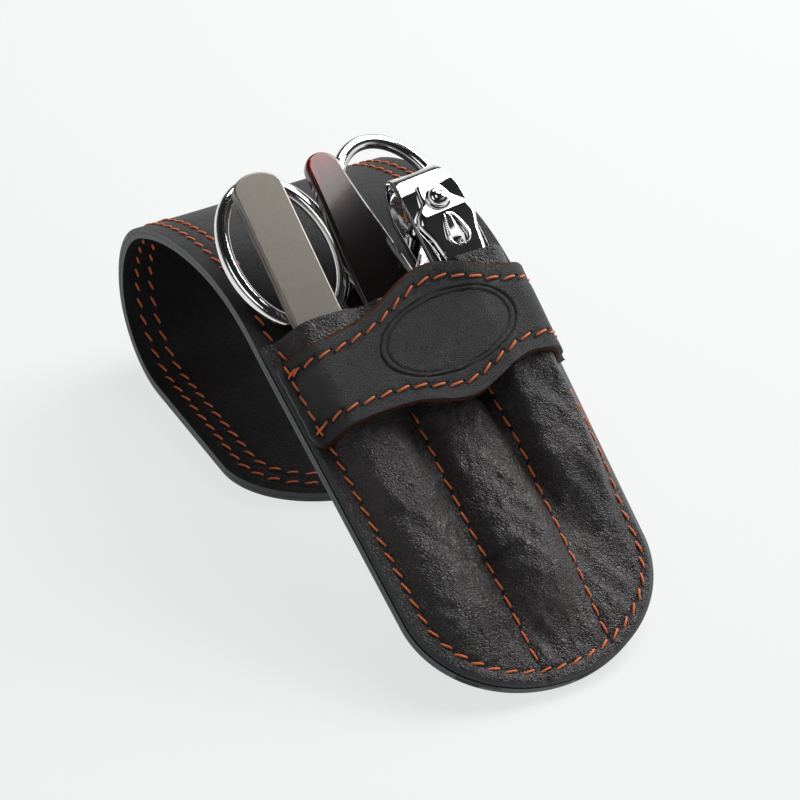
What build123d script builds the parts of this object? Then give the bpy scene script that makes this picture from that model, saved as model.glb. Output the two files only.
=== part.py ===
"""Leather manicure case, open, with its four tools: tweezers, nail file, nail scissors and nail clipper.

One long strip of outer leather and lining is the back of the pouch, bends over at the opening and
curls back underneath, so that its rounded end lies on the table and props the pouch up. A front
leather is sewn round the pouch's edge and along two divider seams, which makes three pockets, and a
band crosses the front. All sizes are millimetres and degrees. The part is built in a frame whose
origin is the lower end of the pouch on the table, +X across the width, +Y from the pouch's lower end
towards the curl and +Z up. At the end it is shifted to the middle of its footprint.
"""

import os
from math import atan, cos, degrees, pi, radians, sin, sqrt, tan

from build123d import *

# ---------------------------------------------------------------- driving dimensions

# the strip
TILT = 29.5  # slope of the pouch
CASE_WIDTH = 55.0  # width at the opening and of the flap
POUCH_END_WIDTH = 50.6  # width where the pouch's rounded end begins
END_DEPTH = 21.0  # depth of both rounded ends
OUTER_LEATHER = 1.2
LINING = 1.0
POCKET_DEPTH = 78.5  # from the pouch's lower end to its opening
CREST_RADIUS = 42.4  # the bend over the top, on the lining
SHOULDER_RADIUS = 65.0
SHOULDER_TURN = 29.0
BACK_RADIUS = 24.0
TAIL_LENGTH = 50.6  # flat end of the flap under the case
FOLD_CLEARANCE = 0.15  # round the fold's knuckle

# the front leather and its seams
FRONT_LEATHER = 1.1
EDGE_SEAM = 3.8  # from the leather's edge to the foot of a pocket
LEFT_DIVIDER = -6.3
RIGHT_DIVIDER = 8.2
DIVIDER_TOP = 56.5  # above here the scissors' shanks cross behind the dividers
DIVIDER_FOOT = 0.7  # half width of leather that stays flat at a divider
POCKET_CLEARANCE = 0.4
HUMP_SHOULDER = 0.22  # the shoulders' radius as a share of a hump's height
HUMP_FOOT = 2.0
HUMP_OPENS = 7.0  # above the sewn dividers the hollows widen over this length
HUMP_END = 11.0  # where the pockets' hollows run out
SLOT_HALF = (8.0, 19.5)  # half width of the way behind the dividers, at its foot and at the opening

# the band across the front
BAND_LOW, BAND_HIGH = 57.0, 73.4
BAND_FACE = 1.0
BAND_BACKING = 0.8
BAND_INSET = 1.5  # from the leather's edge to the band's ends
LOBE_AT = (3.2, 66.2)
LOBE_SIZE = (14.5, 12.7)  # half width and half height of the wide oval part
LOBE_BLEND = 9.0
BAND_GAP = 0.5
BAND_TOP_END, BAND_FOOT_END = 80.5, 51.0  # a little past the lobe
BAND_STEPS = 40
SEAT = 0.03  # between layers that are sewn on each other

# the nail scissors
LIFT = 0.2  # from the lining to the scissors
SCISSOR_THICKNESS = 2.5
RING_OUTER = (12.0, 16.9)
RING_BAND = 2.9
RING_ROUND = 1.2
RING_SPREAD = 13.0  # from the scissors' middle line to each ring's middle
RIGHT_RING_SHIFT = (-0.8, 2.0)  # the right ring sits closer and higher than the left one mirrored
RING_RISE = 45.2  # from the pivot to the rings' middle
SHANK_TOUCH = 4.0  # the tweezers' edge meets the shank this far below the ring
SCISSORS_MIDDLE = -2.0
PIVOT_AT = 50.0
BLADE_LENGTH = 24.0
PIVOT_RADIUS = 3.6
SCREW_RADIUS = 1.5
SCREW_CLEARANCE = 0.05

# the tweezers
TWEEZER_LENGTH = 90.0
TWEEZER_WIDTH = 9.8
TWEEZER_TIP_WIDTH = 3.4
TWEEZER_ARM = 0.95
TWEEZER_GAP = 0.45
TWEEZER_WELD = 7.0
TWEEZER_SHOULDER = 54.0  # where the arms start to narrow
TWEEZER_SLANT = 1.6
HEAD_DOME = 3.4
ARM_EDGE = 0.25
TWEEZER_PLACE = (-15.9, 20.5)
TWEEZER_LEAN = 0.0

# the nail file
FILE_LENGTH = 91.0
HANDLE_LENGTH = 46.0
HANDLE_THICKNESS = 2.8
HANDLE_TIP_WIDTH = 7.0
HANDLE_END_WIDTH = 13.2
FILE_BLADE = 0.9
FILE_BLADE_WIDTH = 8.4
HANDLE_ROUND = 0.8
TANG_LENGTH = 9.0
FILE_POINT = 15.0  # length of the blade's pointed end
FILE_PLACE = (2.1, 20.5)
FILE_LEAN = 2.2

# the nail clipper
CLIPPER_LENGTH = 58.0
CLIPPER_WIDTH = 12.0
CLIPPER_ARM = 1.5
JAW_HEIGHT = 4.4  # of the cutting lips above the lower arm's underside
JAW_GAP = 0.8
NECK_HEIGHT = 8.6  # top of the upper arm behind the jaws
JAW_LENGTH = 8.0
LEVER_WIDTH = 9.2
LEVER_WING = 12.4
LEVER_THICKNESS = 1.3
LEVER_TAIL = 1.5  # from the clipper's rear end to the lever's
LEVER_NOSE = 4.0
LEVER_PLAY = 0.3
DROP_AT = 13.5  # from the pin to the raised drop's round end
DROP_RADIUS = 2.5
DROP_RELIEF = 0.35
ARM_PLAY = 0.05
ARM_FLAT = 7.0  # rear stretch where the arms lie on each other
JAW_WIDTH = 9.6
JAW_HOLLOW = 0.9
LIP_DEPTH = 0.5
RIVET_Y = 4.5
RIVET_RADIUS = 1.3
RIVET_PLAY = 0.15
PIN_PLAY = 0.35
PIN_RADIUS = 1.4
PIN_HEAD_HEIGHT = 1.2
PIN_HEAD_ROUND = 1.0
PIN_HEAD_RADIUS = 2.1
PIN_FROM_LIP = 8.6
CLIPPER_PLACE = (16.6, 42.5, 1.1)
CLIPPER_LEAN = 4.6
CLIPPER_TILT = 3.4

GAP = 0.25  # between tools that lie on each other

# ---------------------------------------------------------------- the shared frame

strip_thickness = OUTER_LEATHER + LINING
along = Vector(0, cos(radians(TILT)), sin(radians(TILT)))
normal = Vector(0, -sin(radians(TILT)), cos(radians(TILT)))
panel_rise = strip_thickness * cos(radians(TILT))
# the pouch's lining: local x across, local y up the pouch, local z towards the tools
panel = Plane(origin=(0, 0, panel_rise), x_dir=(1, 0, 0), z_dir=normal)

tilt, shoulder = radians(TILT), radians(SHOULDER_TURN)
opening = panel.from_local_coords(Vector(0, POCKET_DEPTH, 0))
crest = opening + Vector(0, CREST_RADIUS * sin(tilt), CREST_RADIUS * (1 - cos(tilt)))
heel_radius = crest.Z - SHOULDER_RADIUS * (1 - cos(shoulder)) - BACK_RADIUS * cos(shoulder)
heel_y = crest.Y + SHOULDER_RADIUS * sin(shoulder) + BACK_RADIUS * (1 - sin(shoulder)) - heel_radius
fold_axis = crest - Vector(0, 0, strip_thickness / 2)
side_view = Plane.YZ.offset(-CASE_WIDTH / 2)  # the case's left side


def half_width(v):
    """Half the pouch's width at v along it, above its rounded end."""
    taper = (CASE_WIDTH - POUCH_END_WIDTH) / 2 / (POCKET_DEPTH - END_DEPTH)
    return CASE_WIDTH / 2 - taper * (POCKET_DEPTH - max(v, END_DEPTH))


def edge_at(v):
    """Half width of the pouch's outline at v, rounded end included."""
    drop = max(0.0, END_DEPTH - v) / END_DEPTH
    return half_width(v) * sqrt(max(0.0, 1 - drop * drop))


def across(v):
    """The plane across the pouch at v: local x across, local y towards the tools."""
    return Plane(origin=panel.from_local_coords(Vector(0, v, 0)), x_dir=(1, 0, 0), z_dir=-along)


def tool_plane(u, v, n, lean=0.0, tilted=0.0):
    """A tool's own plane: local y runs up the tool, local z away from the lining."""
    return Plane(panel.location * Location((u, v, n), (tilted, 0, lean)))


# ---------------------------------------------------------------- the strip


def pouch_outline():
    """Outline of the pouch in the panel plane, rounded end at the bottom."""
    with BuildLine() as line:
        end = POUCH_END_WIDTH / 2
        Line((-end, END_DEPTH), (-CASE_WIDTH / 2, POCKET_DEPTH))
        Line((-CASE_WIDTH / 2, POCKET_DEPTH), (CASE_WIDTH / 2, POCKET_DEPTH))
        Line((CASE_WIDTH / 2, POCKET_DEPTH), (end, END_DEPTH))
        EllipticalCenterArc((0, END_DEPTH), end, END_DEPTH, start_angle=180, arc_size=180)
    return line.line


def tail_outline():
    """Outline of the flap's flat end on the table, rounded towards the pouch."""
    side = CASE_WIDTH / 2
    tip = heel_y - TAIL_LENGTH
    with BuildLine() as line:
        Line((-side, tip + END_DEPTH), (-side, heel_y))
        Line((-side, heel_y), (side, heel_y))
        Line((side, heel_y), (side, tip + END_DEPTH))
        EllipticalCenterArc((0, tip + END_DEPTH), side, END_DEPTH, start_angle=180, arc_size=180)
    return line.line


def crest_face(low, high):
    """Side view of the bend over the top, between two depths of the strip."""
    with BuildSketch(side_view) as face:
        with BuildLine():
            ends = []
            for n in (low, high):
                foot = panel.from_local_coords(Vector(0, POCKET_DEPTH, n))
                arc = JernArc((foot.Y, foot.Z), (along.Y, along.Z), CREST_RADIUS + n, -TILT)
                ends.append((arc @ 0, arc @ 1))
            Line(ends[0][0], ends[1][0])
            Line(ends[0][1], ends[1][1])
        make_face()
    return face.sketch


def curl_face(low, high):
    """Side view of the flap from the crest down to the table."""
    with BuildSketch(side_view) as face:
        with BuildLine():
            ends = []
            for n in (low, high):
                top = JernArc((crest.Y, crest.Z + n), (1, 0), SHOULDER_RADIUS + n, -SHOULDER_TURN)
                back = JernArc(top @ 1, top % 1, BACK_RADIUS + n, SHOULDER_TURN - 90)
                heel = JernArc(back @ 1, back % 1, heel_radius + n, -90)
                ends.append((top @ 0, heel @ 1))
            Line(ends[0][0], ends[1][0])
            Line(ends[0][1], ends[1][1])
        make_face()
    return face.sketch


def knuckle_face(low, high):
    """The flap's round edge in the fold, as deep as one layer."""
    with BuildSketch(side_view) as face:
        with Locations((fold_axis.Y, fold_axis.Z)):
            Circle(strip_thickness / 2)
        with Locations((crest.Y - strip_thickness / 2, crest.Z + (low + high) / 2)):
            Rectangle(strip_thickness, high - low, mode=Mode.INTERSECT)
    return face.sketch


def back_layer(low, high):
    """One layer of the strip from the pouch's lower end to the fold."""
    with BuildPart() as layer:
        with BuildSketch(panel.offset(low)):
            add(pouch_outline())
            make_face()
        extrude(amount=high - low)
        extrude(crest_face(low, high), amount=CASE_WIDTH)
        with BuildSketch(side_view):
            with Locations((fold_axis.Y, fold_axis.Z)):
                Circle(strip_thickness / 2 + FOLD_CLEARANCE)
        extrude(amount=CASE_WIDTH, mode=Mode.SUBTRACT)
    return layer


def flap_layer(low, high):
    """One layer of the strip from the fold to the flap's rounded end."""
    with BuildPart() as layer:
        extrude(curl_face(low, high), amount=CASE_WIDTH)
        extrude(knuckle_face(low, high), amount=CASE_WIDTH)
        with BuildSketch(Plane.XY.offset(-high)):
            add(tail_outline())
            make_face()
        extrude(amount=high - low)
    return layer


back_outer = back_layer(-strip_thickness, -LINING)
back_lining = back_layer(-LINING, 0)
flap_outer = flap_layer(-strip_thickness, -LINING)
flap_lining = flap_layer(-LINING, 0)

# ---------------------------------------------------------------- the nail scissors

scissor_plane = tool_plane(SCISSORS_MIDDLE, PIVOT_AT, LIFT)
scissor_half = SCISSOR_THICKNESS / 2
scissor_top = LIFT + SCISSOR_THICKNESS


def ring_middle(side):
    """Middle of a finger ring, from the pivot."""
    if side < 0:
        return -RING_SPREAD, RING_RISE
    return RING_SPREAD + RIGHT_RING_SHIFT[0], RING_RISE + RIGHT_RING_SHIFT[1]


def scissor_outline(side):
    """Shank, pivot boss and blade of one half, ring to the given side of the middle."""
    spread = abs(ring_middle(side)[0])
    ring_foot = ring_middle(side)[1] - RING_OUTER[1]
    with BuildSketch() as outline:
        with BuildLine():
            outer = Spline(
                (side * (spread + 1.5), ring_foot + 1.2),
                (side * 6.8, ring_foot - 10.5),
                (side * 3.6, 7.0),
                (side * 2.6, 2.5),
            )
            tip = (side * 0.2, -BLADE_LENGTH)
            edge = ThreePointArc(outer @ 1, (side * 1.4, -BLADE_LENGTH * 0.55), tip)
            back = ThreePointArc(edge @ 1, (side * -2.2, -BLADE_LENGTH * 0.5), (side * -3.0, -1.5))
            inner = Spline(
                back @ 1,
                (side * -1.0, 5.0),
                (side * 1.9, 13.0),
                (side * (spread - 6.4), ring_foot + 3.0),
            )
            Line(inner @ 1, outer @ 0)
        make_face()
        Circle(PIVOT_RADIUS)
    return outline.sketch


def scissor_body(side, low):
    """One half: a full ring and upper shank, and below them a boss and blade of half the thickness."""
    step = RING_RISE - RING_OUTER[1] - 12.0
    inner_ring = (RING_OUTER[0] - RING_BAND, RING_OUTER[1] - RING_BAND)
    with BuildPart() as half:
        with BuildSketch(scissor_plane):
            with Locations(ring_middle(side)):
                Ellipse(*RING_OUTER)
                Ellipse(*inner_ring, mode=Mode.SUBTRACT)
        extrude(amount=SCISSOR_THICKNESS)
        fillet(half.edges(), RING_ROUND)
        with BuildSketch(scissor_plane.offset(low)):
            add(scissor_outline(side))
            with Locations(ring_middle(side)):
                Ellipse(*inner_ring, mode=Mode.SUBTRACT)
        extrude(amount=scissor_half)
        with BuildSketch(scissor_plane):
            add(scissor_outline(side))
            with Locations(ring_middle(side)):
                Ellipse(*inner_ring, mode=Mode.SUBTRACT)
            with Locations((0, step + RING_RISE)):
                Rectangle(4 * RING_SPREAD, 2 * RING_RISE, mode=Mode.INTERSECT)
        extrude(amount=SCISSOR_THICKNESS)
        with BuildSketch(scissor_plane):
            Circle(SCREW_RADIUS + SCREW_CLEARANCE)
        extrude(amount=SCISSOR_THICKNESS, mode=Mode.SUBTRACT)
    return half


scissors_left = scissor_body(-1, 0)
scissors_right = scissor_body(1, scissor_half + SCREW_CLEARANCE)

with BuildPart() as scissors_screw:
    with BuildSketch(scissor_plane):
        Circle(SCREW_RADIUS)
    extrude(amount=SCISSOR_THICKNESS)

# ---------------------------------------------------------------- the tweezers

tweezer_thickness = 2 * TWEEZER_ARM + TWEEZER_GAP
# the tweezers lie on the left ring's lower end, tips down in the pocket
ring_foot_at = PIVOT_AT + RING_RISE - RING_OUTER[1] - SHANK_TOUCH
rest_height = scissor_top + GAP
tweezer_rise = (rest_height - LIFT) / (ring_foot_at - TWEEZER_PLACE[1])
tweezer_tilt = degrees(atan(tweezer_rise))
tweezer_plane = tool_plane(*TWEEZER_PLACE, LIFT, TWEEZER_LEAN, tweezer_tilt)


def tweezer_outline():
    """One arm: broad head at the top, slanted tip at the bottom."""
    half, tip = TWEEZER_WIDTH / 2, TWEEZER_TIP_WIDTH / 2
    with BuildLine() as line:
        head = EllipticalCenterArc((0, TWEEZER_LENGTH - HEAD_DOME), half, HEAD_DOME, 0, arc_size=180)
        left = Line(head @ 1, (-half, TWEEZER_SHOULDER))
        left_taper = Spline(left @ 1, (-tip, 0), tangents=((0, -1), (0.06, -1)))
        slant = Line(left_taper @ 1, (tip, TWEEZER_SLANT))
        right_taper = Spline(slant @ 1, (half, TWEEZER_SHOULDER), tangents=((0.06, 1), (0, 1)))
        Line(right_taper @ 1, head @ 0)
    return line.line


def tweezer_arm(low, weld):
    """One arm with softened upper edges, its lower face at low, and under its head a weld that deep."""
    with BuildPart() as arm:
        with BuildSketch(tweezer_plane.offset(low)):
            add(tweezer_outline())
            make_face()
        extrude(amount=TWEEZER_ARM)
        top = arm.faces().sort_by(Axis(tweezer_plane.origin, tweezer_plane.z_dir))[-1]
        chamfer(top.edges(), ARM_EDGE)
        if weld:
            with BuildSketch(tweezer_plane.offset(low - weld)):
                add(tweezer_outline())
                make_face()
                with Locations((0, TWEEZER_LENGTH - TWEEZER_WELD / 2)):
                    Rectangle(TWEEZER_WIDTH, TWEEZER_WELD, mode=Mode.INTERSECT)
            extrude(amount=weld)
    return arm


tweezers_back_arm = tweezer_arm(0, 0)
tweezers_front_arm = tweezer_arm(TWEEZER_ARM + TWEEZER_GAP, TWEEZER_GAP)

# ---------------------------------------------------------------- the nail file

handle_foot = FILE_LENGTH - HANDLE_LENGTH
file_plane = tool_plane(*FILE_PLACE, rest_height, FILE_LEAN)
blade_low = (HANDLE_THICKNESS - FILE_BLADE) / 2

with BuildPart() as file_handle:
    with BuildSketch(file_plane):
        with BuildLine():
            tip, end = HANDLE_TIP_WIDTH / 2, HANDLE_END_WIDTH / 2
            dome = CenterArc((0, FILE_LENGTH - tip), tip, 0, 180)
            left = Spline(dome @ 1, (-end, handle_foot + end), tangents=((-0.05, -1), (0, -1)))
            foot = CenterArc((0, handle_foot + end), end, 180, 180)
            Spline(foot @ 1, dome @ 0, tangents=((0, 1), (-0.05, 1)))
        make_face()
    extrude(amount=HANDLE_THICKNESS)
    fillet(file_handle.faces().filter_by(Axis(file_plane.origin, file_plane.z_dir)).edges(), HANDLE_ROUND)
    with BuildSketch(file_plane.offset(blade_low)):
        with Locations((0, handle_foot)):
            Rectangle(FILE_BLADE_WIDTH, 2 * TANG_LENGTH)
    extrude(amount=FILE_BLADE, mode=Mode.SUBTRACT)

with BuildPart() as file_blade:
    with BuildSketch(file_plane.offset(blade_low)):
        with BuildLine():
            half = FILE_BLADE_WIDTH / 2
            left = ThreePointArc((0, 0), (-half * 0.72, FILE_POINT * 0.5), (-half, FILE_POINT))
            side = Line(left @ 1, (-half, handle_foot + TANG_LENGTH))
            base = Line(side @ 1, (half, handle_foot + TANG_LENGTH))
            side = Line(base @ 1, (half, FILE_POINT))
            ThreePointArc(side @ 1, (half * 0.72, FILE_POINT * 0.5), (0, 0))
        make_face()
    extrude(amount=FILE_BLADE)

# ---------------------------------------------------------------- the nail clipper

clipper_plane = tool_plane(*CLIPPER_PLACE, CLIPPER_LEAN, CLIPPER_TILT)
clipper_side = Plane(
    origin=clipper_plane.from_local_coords(Vector(-LEVER_WING / 2, 0, 0)),
    x_dir=clipper_plane.y_dir,
    z_dir=clipper_plane.x_dir,
)
neck = CLIPPER_LENGTH - JAW_LENGTH
pin_y = CLIPPER_LENGTH - PIN_FROM_LIP
lower_lip = JAW_HEIGHT - JAW_GAP / 2
upper_lip = JAW_HEIGHT + JAW_GAP / 2
arm_foot = CLIPPER_ARM + ARM_PLAY


def clipper_outline():
    """Plan of both arms: round rear end, jaws that narrow to concave lips."""
    half = CLIPPER_WIDTH / 2
    lip = JAW_WIDTH / 2
    with BuildSketch(clipper_plane) as outline:
        with BuildLine():
            rear = CenterArc((0, half), half, 180, 180)
            right = Line(rear @ 1, (half, neck + 1))
            jaw = Line(right @ 1, (lip, CLIPPER_LENGTH))
            mouth = ThreePointArc(jaw @ 1, (0, CLIPPER_LENGTH - JAW_HOLLOW), (-lip, CLIPPER_LENGTH))
            corner = Line(mouth @ 1, (-half, neck + 1))
            Line(corner @ 1, rear @ 0)
        make_face()
    return outline.sketch


with BuildPart() as clipper_lower_arm:
    with BuildSketch(clipper_side):
        with BuildLine():
            under = Line((0, 0), (neck, 0))
            jaw = Spline(under @ 1, (neck + JAW_LENGTH * 0.75, 1.3), (CLIPPER_LENGTH, lower_lip),
                         tangents=((1, 0), (0.25, 1)))
            edge = Line(jaw @ 1, (CLIPPER_LENGTH - LIP_DEPTH, lower_lip))
            inside = Spline(edge @ 1, (pin_y + PIN_RADIUS + 0.5, CLIPPER_ARM), tangents=((-0.3, -1), (-1, 0)))
            top = Line(inside @ 1, (0, CLIPPER_ARM))
            Line(top @ 1, under @ 0)
        make_face()
    extrude(amount=LEVER_WING)
    extrude(clipper_outline(), amount=CLIPPER_ARM * 8, mode=Mode.INTERSECT)
    with BuildSketch(clipper_plane):
        with Locations((0, pin_y)):
            Circle(PIN_RADIUS)
        with Locations((0, RIVET_Y)):
            Circle(RIVET_RADIUS)
    extrude(amount=CLIPPER_ARM, mode=Mode.SUBTRACT)

with BuildPart() as clipper_upper_arm:
    with BuildSketch(clipper_side):
        with BuildLine():
            under = Line((0, arm_foot), (ARM_FLAT, arm_foot))
            rise = Line(under @ 1, (neck - 1, NECK_HEIGHT - CLIPPER_ARM))
            inside = Spline(rise @ 1, (neck + JAW_LENGTH * 0.5, 6.6), (CLIPPER_LENGTH - LIP_DEPTH, upper_lip),
                            tangents=((1, 0.12), (0.3, -1)))
            edge = Line(inside @ 1, (CLIPPER_LENGTH, upper_lip))
            jaw = Spline(edge @ 1, (neck + JAW_LENGTH * 0.72, 7.7), (neck - 1, NECK_HEIGHT),
                         tangents=((-0.25, 1), (-1, 0.02)))
            fall = Line(jaw @ 1, (ARM_FLAT, arm_foot + CLIPPER_ARM))
            top = Line(fall @ 1, (0, arm_foot + CLIPPER_ARM))
            Line(top @ 1, under @ 0)
        make_face()
    extrude(amount=LEVER_WING)
    extrude(clipper_outline(), amount=CLIPPER_ARM * 8, mode=Mode.INTERSECT)
    with BuildSketch(clipper_plane):
        with Locations((0, pin_y)):
            Circle(PIN_RADIUS + PIN_PLAY)
        with Locations((0, RIVET_Y)):
            Circle(RIVET_RADIUS + RIVET_PLAY)
    extrude(amount=CLIPPER_ARM * 8, mode=Mode.SUBTRACT)

with BuildPart() as clipper_rivet:
    with BuildSketch(clipper_plane):
        with Locations((0, RIVET_Y)):
            Circle(RIVET_RADIUS)
    extrude(amount=arm_foot + CLIPPER_ARM + LEVER_PLAY / 2)

lever_seat = NECK_HEIGHT + LEVER_PLAY
lever_top = lever_seat + LEVER_THICKNESS


# underside of the arched lever, from its tail to its nose
lever_points = (
    (LEVER_TAIL, arm_foot + CLIPPER_ARM + LEVER_PLAY + 0.5),
    (neck * 0.42, NECK_HEIGHT * 0.76),
    (neck * 0.74, lever_seat - 0.55),
    (pin_y, lever_seat),
    (pin_y + LEVER_NOSE, lever_seat - 0.1),
)


def lever_side(low, high):
    """Side view of the lever, from low to high above its underside."""
    with BuildSketch(clipper_side) as face:
        with BuildLine():
            under = Spline(*[(y, z + low) for y, z in lever_points])
            over = Spline(*[(y, z + high) for y, z in lever_points])
            Line(under @ 0, over @ 0)
            Line(under @ 1, over @ 1)
        make_face()
    return face.sketch


with BuildPart() as clipper_lever:
    extrude(lever_side(0, LEVER_THICKNESS), amount=LEVER_WING)
    with BuildSketch(clipper_plane):
        with BuildLine():
            half, wing = LEVER_WIDTH / 2, LEVER_WING / 2
            tail = CenterArc((0, LEVER_TAIL + half), half, 180, 180)
            side = Line(tail @ 1, (half, pin_y - 5.0))
            flare = Line(side @ 1, (wing, pin_y - 1.6))
            edge = Line(flare @ 1, (wing, pin_y + 0.8))
            nose = Line(edge @ 1, (half * 0.8, pin_y + LEVER_NOSE))
            front = Line(nose @ 1, (-half * 0.8, pin_y + LEVER_NOSE))
            nose = Line(front @ 1, (-wing, pin_y + 0.8))
            edge = Line(nose @ 1, (-wing, pin_y - 1.6))
            flare = Line(edge @ 1, (-half, pin_y - 5.0))
            Line(flare @ 1, tail @ 0)
        make_face()
    extrude(amount=2 * lever_top, mode=Mode.INTERSECT)
    with BuildSketch(clipper_plane) as drop:
        with BuildLine():
            low = CenterArc((0, pin_y - DROP_AT), DROP_RADIUS, 180, 180)
            ThreePointArc(low @ 1, (DROP_RADIUS * 0.72, pin_y - DROP_AT + 4.4), (0, pin_y - DROP_AT + 7.0))
            ThreePointArc((0, pin_y - DROP_AT + 7.0), (-DROP_RADIUS * 0.72, pin_y - DROP_AT + 4.4), low @ 0)
        make_face()
    raised = extrude(drop.sketch, amount=2 * lever_top, mode=Mode.PRIVATE)
    skin = extrude(lever_side(LEVER_THICKNESS - 0.1, LEVER_THICKNESS + DROP_RELIEF), amount=LEVER_WING,
                   mode=Mode.PRIVATE)
    add(raised & skin)
    with BuildSketch(clipper_plane):
        with Locations((0, pin_y)):
            Circle(PIN_RADIUS + RIVET_PLAY)
    extrude(amount=2 * lever_top, mode=Mode.SUBTRACT)

pin_top = lever_top + LEVER_PLAY / 2
with BuildPart() as clipper_pin:
    with BuildSketch(clipper_plane):
        with Locations((0, pin_y)):
            Circle(PIN_RADIUS)
    extrude(amount=pin_top)
    with BuildSketch(clipper_plane.offset(pin_top)):
        with Locations((0, pin_y)):
            Circle(PIN_HEAD_RADIUS)
    extrude(amount=PIN_HEAD_HEIGHT)
    fillet(clipper_pin.edges().group_by(Axis(clipper_plane.origin, clipper_plane.z_dir))[-1], PIN_HEAD_ROUND)

# ---------------------------------------------------------------- the front leather


def tweezers_top(v):
    """Height of the tweezers' upper face above the lining."""
    return LIFT + tweezer_rise * (v - TWEEZER_PLACE[1]) + tweezer_thickness


def file_top(v):
    """Height of the handle's face, and where the pocket is sewn of the blade's face."""
    thick = HANDLE_THICKNESS if v > DIVIDER_TOP else blade_low + FILE_BLADE
    return rest_height + thick


def clipper_top(v):
    """Height of the lever's upper face above the lining."""
    u0, v0, n0 = CLIPPER_PLACE
    y = v - v0
    for (y_a, z_a), (y_b, z_b) in zip(lever_points, lever_points[1:]):
        if y <= y_b:
            break
    lever = z_a + (z_b - z_a) * max(0.0, y - y_a) / (y_b - y_a) + LEVER_THICKNESS
    return n0 + tan(radians(CLIPPER_TILT)) * max(0.0, y) + lever + DROP_RELIEF


def seam_left(v):
    """Foot of the left pocket beside the pouch's edge seam."""
    return EDGE_SEAM - edge_at(v)


# pocket: tool's top, lower end of the tool, left wall, right wall, how far each wall opens at the top
pockets = (
    (tweezers_top, TWEEZER_PLACE[1], seam_left, lambda v: LEFT_DIVIDER - DIVIDER_FOOT, (0.0, 2.6)),
    (file_top, FILE_PLACE[1], lambda v: LEFT_DIVIDER + DIVIDER_FOOT,
     lambda v: RIGHT_DIVIDER - DIVIDER_FOOT, (4.0, 2.6)),
    (clipper_top, CLIPPER_PLACE[1], lambda v: RIGHT_DIVIDER + DIVIDER_FOOT, lambda v: -seam_left(v), (3.0, 0.0)),
)


def hump_section(v, left, right, height):
    """Cross-section of a pocket's hump: steep walls, round shoulders, and a foot sunk below the lining."""
    bend = HUMP_SHOULDER * height
    with BuildSketch(across(v)) as section:
        with BuildLine():
            wall = Line((left, -HUMP_FOOT), (left, height - bend))
            CenterArc((left + bend, height - bend), bend, 90, 90)
            back = Line((left + bend, height), (right - bend, height))
            CenterArc((right - bend, height - bend), bend, 0, 90)
            Polyline((right, height - bend), (right, -HUMP_FOOT), wall @ 0)
        make_face()
    return section.sketch


def hump(top, tool_end, left_wall, right_wall, spread, skin):
    """Cross-sections of a pocket's hump, skin thicker all round than its hollow."""
    sections = []
    for v in (POCKET_DEPTH + HUMP_FOOT, DIVIDER_TOP + HUMP_OPENS, DIVIDER_TOP, 46.0, tool_end - 1):
        open_up = min(1.0, max(0.0, v - DIVIDER_TOP) / HUMP_OPENS)
        left = left_wall(v) - open_up * spread[0] - skin
        right = right_wall(v) + open_up * spread[1] + skin
        sections.append(hump_section(v, left, right, top(max(v, tool_end)) + POCKET_CLEARANCE + skin))
    foot = HUMP_END - 2 * skin
    left = left_wall(foot) + 2 - skin
    right = right_wall(foot) - 2 + skin
    sections.append(hump_section(foot, left, right, FRONT_LEATHER * 0.6))
    return sections


with BuildPart() as pocket_front:
    with BuildSketch(panel):
        add(pouch_outline())
        make_face()
    extrude(amount=FRONT_LEATHER)
    for pocket in pockets:
        loft(hump(*pocket, FRONT_LEATHER), ruled=True)
    # what reaches behind the lining's face or past the opening is cut away
    with BuildSketch(panel.offset(-2 * HUMP_FOOT)):
        with Locations((0, POCKET_DEPTH / 2)):
            Rectangle(2 * CASE_WIDTH, 2 * POCKET_DEPTH)
    extrude(amount=2 * HUMP_FOOT, mode=Mode.SUBTRACT)
    with BuildSketch(across(POCKET_DEPTH + 2 * HUMP_FOOT)):
        Rectangle(2 * CASE_WIDTH, 2 * CASE_WIDTH)
    extrude(amount=2 * HUMP_FOOT, mode=Mode.SUBTRACT)
    for pocket in pockets:
        loft(hump(*pocket, 0), ruled=True, mode=Mode.SUBTRACT)
    with BuildSketch(panel.offset(-HUMP_FOOT)):
        with BuildLine():
            low, high = SLOT_HALF
            Polyline(
                (SCISSORS_MIDDLE - low, DIVIDER_TOP), (SCISSORS_MIDDLE - high, POCKET_DEPTH + HUMP_FOOT),
                (SCISSORS_MIDDLE + high, POCKET_DEPTH + HUMP_FOOT), (SCISSORS_MIDDLE + low, DIVIDER_TOP),
                close=True)
        make_face()
    extrude(amount=HUMP_FOOT + scissor_top + GAP, mode=Mode.SUBTRACT)

# ---------------------------------------------------------------- the band

band_reach = CASE_WIDTH / 2 - BAND_INSET
band_middle = (BAND_LOW + BAND_HIGH) / 2


def band_path(v):
    """The band's underside across the pouch at v: sewn down at both ends, taut from hump to hump."""
    over = POCKET_CLEARANCE + FRONT_LEATHER + BAND_GAP
    left, right = tweezers_top(v) + over, clipper_top(v) + over
    middle = max(left, file_top(POCKET_DEPTH) + over)
    return (
        (-band_reach, FRONT_LEATHER + SEAT),
        (-band_reach + 0.6, left * 0.50),
        (-band_reach + 1.8, left * 0.88),
        (-band_reach + 4.0, left),
        (-15.5, left),
        (-10.5, middle),
        (-5.5, middle * 0.75 + right * 0.25),
        (0.5, middle * 0.42 + right * 0.58),
        (4.8, right * 0.92),
        (9.0, right + BAND_GAP),
        (15.5, right + BAND_GAP),
        (band_reach - 3.2, right),
        (band_reach - 1.4, right * 0.87),
        (band_reach - 0.5, right * 0.45),
        (band_reach, FRONT_LEATHER + SEAT),
    )


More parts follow.
